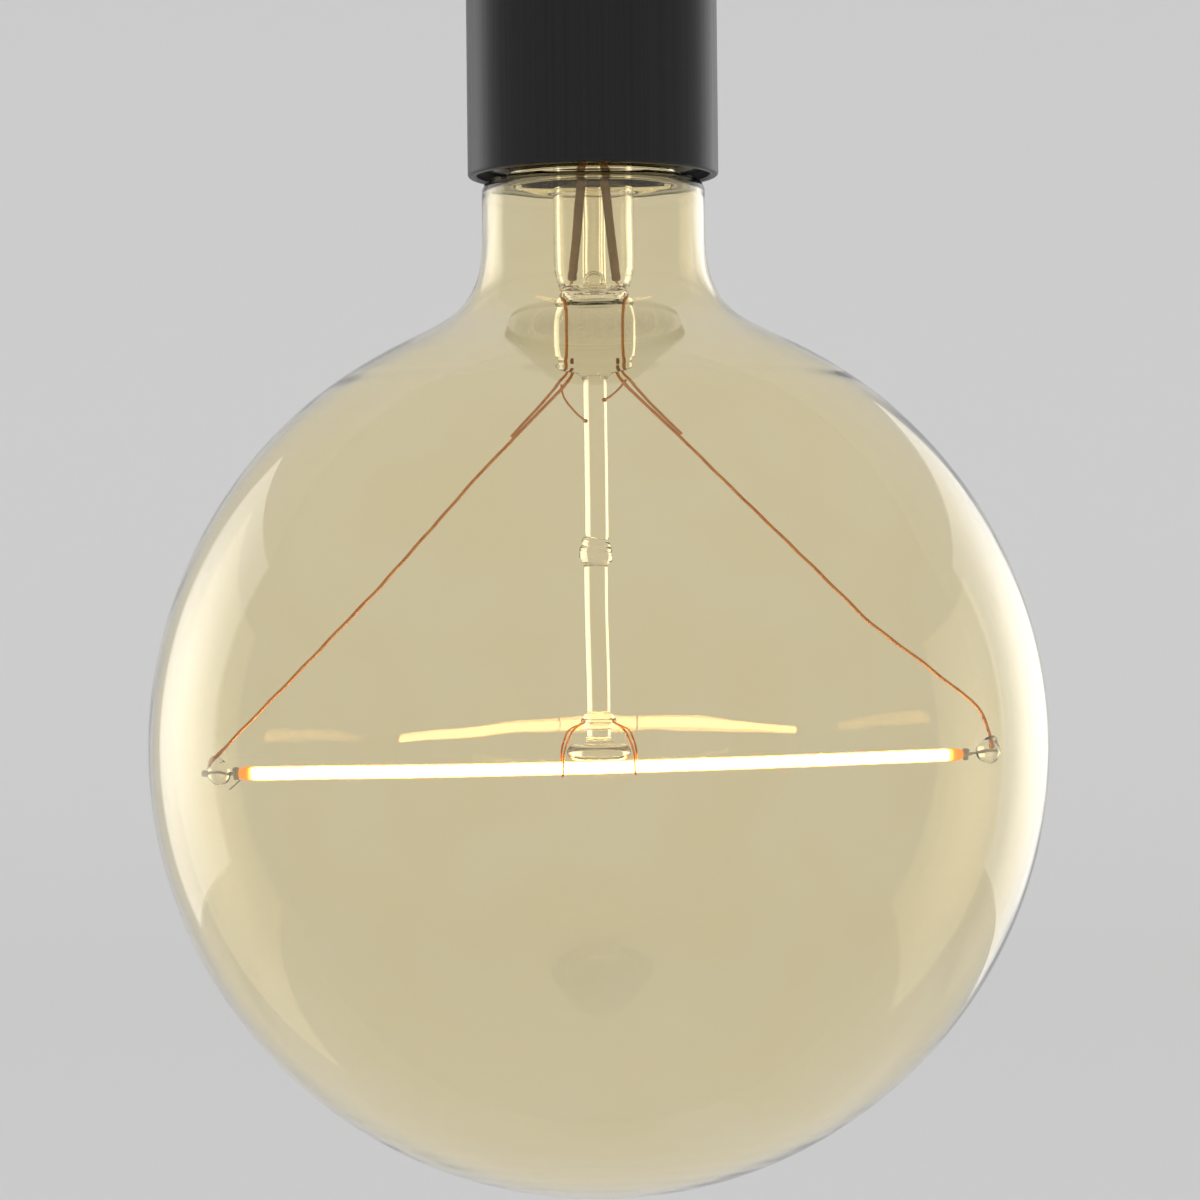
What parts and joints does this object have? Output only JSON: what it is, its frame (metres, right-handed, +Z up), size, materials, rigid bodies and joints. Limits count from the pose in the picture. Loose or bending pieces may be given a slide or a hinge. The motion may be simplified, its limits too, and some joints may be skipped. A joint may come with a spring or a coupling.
{
  "type": "led globe bulb",
  "caption": "Large clear globe bulb with a long straight glowing filament on a glass stem, screwed into a slim black cylindrical lampholder with a threaded cord entry.",
  "frame": {"origin": "centre of the threaded cord entry's mouth, on the holder's top face", "axes": "+Z up along the bulb's axis, out of the cord entry; +X along the filament to its higher end; -Y towards the viewer of the picture"},
  "size_m": [0.125, 0.125, 0.2084],
  "materials": {
    "black_holder": "black anodised, brushed lengthwise, satin",
    "nickel": "nickel plated, semi-bright",
    "black_steel": "black oxide",
    "brass": "stamped, semi-bright",
    "black_ceramic": "black glazed ceramic",
    "tip_metal": "tinned, domed",
    "black_glass": "glossy black glass insulator",
    "cement": "dry basing cement",
    "red_wire": "insulated wire",
    "white_wire": "insulated wire",
    "board_green": "solder resist on glass-fibre board",
    "capacitor_blue": "shrink sleeve",
    "ferrite": "ferrite with lacquered windings",
    "package_black": "moulded component package",
    "resistor_body": "lacquered resistor body",
    "globe_glass": "blown glass with a light gold tint",
    "stem_glass": "clear lamp glass, fire polished",
    "copper_wire": "copper-coloured wire, slightly heat-tinted",
    "amber_sleeving": "amber insulating sleeve",
    "phosphor": "amber phosphor in silicone, lit",
    "strip": "white ceramic strip",
    "chips": "sapphire LED chips",
    "end_metal": "plated end metal"
  },
  "bodies": {
    "holder": {"holder_sleeve": "black_holder", "holder_lid": "black_holder", "entry_bush": "black_holder", "bush_nut": "nickel", "bush_grub": "black_steel", "sleeve_grubs": "black_steel", "earth_tag": "brass", "earth_screw": "nickel", "socket_insert": "black_ceramic", "insert_screws": "nickel", "thread_shell": "brass", "contact_foot": "brass", "neutral_strip": "brass", "live_terminal": "brass", "neutral_terminal": "brass", "terminal_screws": "nickel"},
    "cap_tip": {"tip_contact": "tip_metal"},
    "bulb": {"cap_shell": "nickel", "cap_insulator": "black_glass", "basing_cement": "cement", "live_wire": "red_wire", "neutral_wire": "white_wire", "driver_board": "board_green", "smoothing_capacitor": "capacitor_blue", "inductor": "ferrite", "bridge_rectifier": "package_black", "driver_chip": "package_black", "fuse_resistor": "resistor_body", "globe": "globe_glass", "stem_tube": "stem_glass", "exhaust_tube": "stem_glass", "stem_press": "stem_glass", "upper_rod": "stem_glass", "rod_weld": "stem_glass", "lower_rod": "stem_glass", "anchor_collar": "stem_glass", "rod_button": "stem_glass", "left_lead": "copper_wire", "right_lead": "copper_wire", "left_sleeving": "amber_sleeving", "right_sleeving": "amber_sleeving", "left_support": "copper_wire", "right_support": "copper_wire", "left_brace": "copper_wire", "right_brace": "copper_wire", "left_anchor": "copper_wire", "right_anchor": "copper_wire", "filament_coating": "phosphor", "filament_strip": "strip", "led_chips": "chips", "left_tab": "end_metal", "right_tab": "end_metal", "left_pin": "end_metal", "right_pin": "end_metal", "left_bead": "stem_glass", "right_bead": "stem_glass"},
    "contact_leaf": {"centre_contact": "brass"}
  },
  "joints": [
    {"name": "bulb_travel", "type": "slide", "parent": "holder", "child": "cap_tip", "axis": [0, 0, 1], "range_m": [-0.01462, 0]},
    {"name": "bulb_turn", "type": "hinge", "parent": "cap_tip", "child": "bulb", "pos_m": [0, 0, 0], "axis": [0, 0, 1], "range_deg": [-1440, 0]},
    {"name": "contact_flex", "type": "hinge", "parent": "holder", "child": "contact_leaf", "pos_m": [0.00543, 0, -0.0337], "axis": [0, 1, 0], "range_deg": [-11.1, 0]}
  ],
  "couplings": [
    {"joint": "bulb_travel", "follows": "bulb_turn", "m_per_rad": 0.00057757},
    {"joint": "contact_flex", "follows": "bulb_turn", "ratio": 0.0076389}
  ]
}
